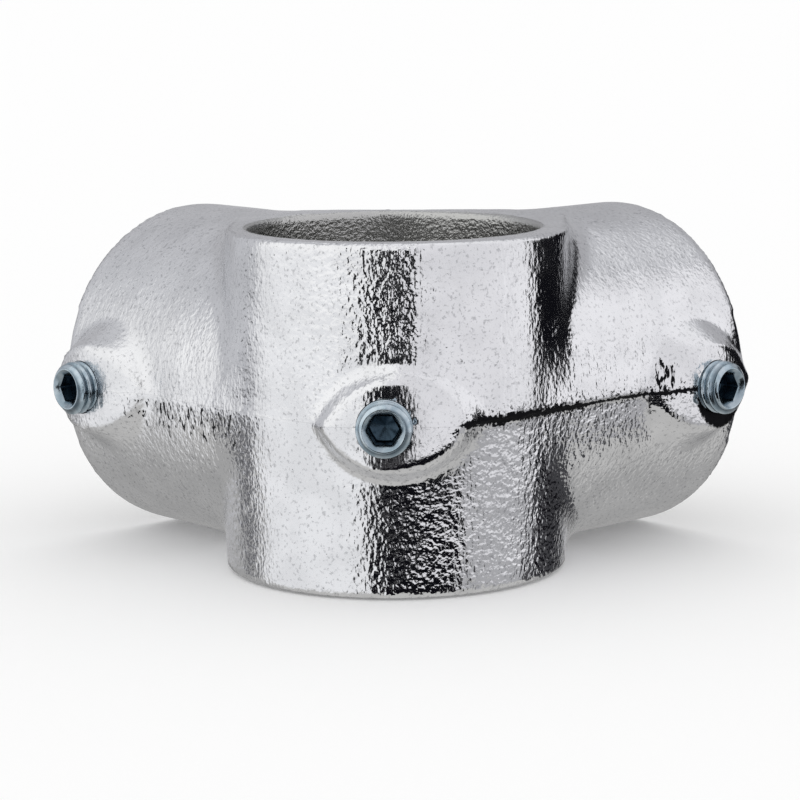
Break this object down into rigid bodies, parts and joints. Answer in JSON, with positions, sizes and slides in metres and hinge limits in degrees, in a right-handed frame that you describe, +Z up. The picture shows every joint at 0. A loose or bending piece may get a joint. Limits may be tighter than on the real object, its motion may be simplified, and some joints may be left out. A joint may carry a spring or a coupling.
{
  "type": "corner pipe clamp",
  "caption": "Galvanised cast corner clamp for round tube: a through sleeve with blind sockets at a right angle, each gripped by a set screw.",
  "frame": {"origin": "where the three tube axes cross, at the sleeve's mid-height in the mould's parting plane", "axes": "+Z up along the upright's sleeve, +X out of the right-hand socket (seen from outside the corner), +Y out of the left-hand socket"},
  "size_m": [0.0813, 0.0811, 0.051],
  "materials": {
    "casting": "hot-dip galvanised, as cast",
    "screw": "bright zinc with a blue tint"
  },
  "bodies": {
    "casting": {"cast_body": "casting"},
    "upright_screw": {"upright_set_screw": "screw"},
    "rail_x_screw": {"rail_x_set_screw": "screw"},
    "rail_y_screw": {"rail_y_set_screw": "screw"}
  },
  "joints": [
    {"name": "upright_screw_travel", "type": "slide", "parent": "casting", "child": "upright_screw", "axis": [0.7071, 0.7071, 0], "range_m": [-0.003, 0.003]},
    {"name": "rail_x_screw_travel", "type": "slide", "parent": "casting", "child": "rail_x_screw", "axis": [0, 1, 0], "range_m": [-0.003, 0.003]},
    {"name": "rail_y_screw_travel", "type": "slide", "parent": "casting", "child": "rail_y_screw", "axis": [1, 0, 0], "range_m": [-0.003, 0.003]}
  ]
}
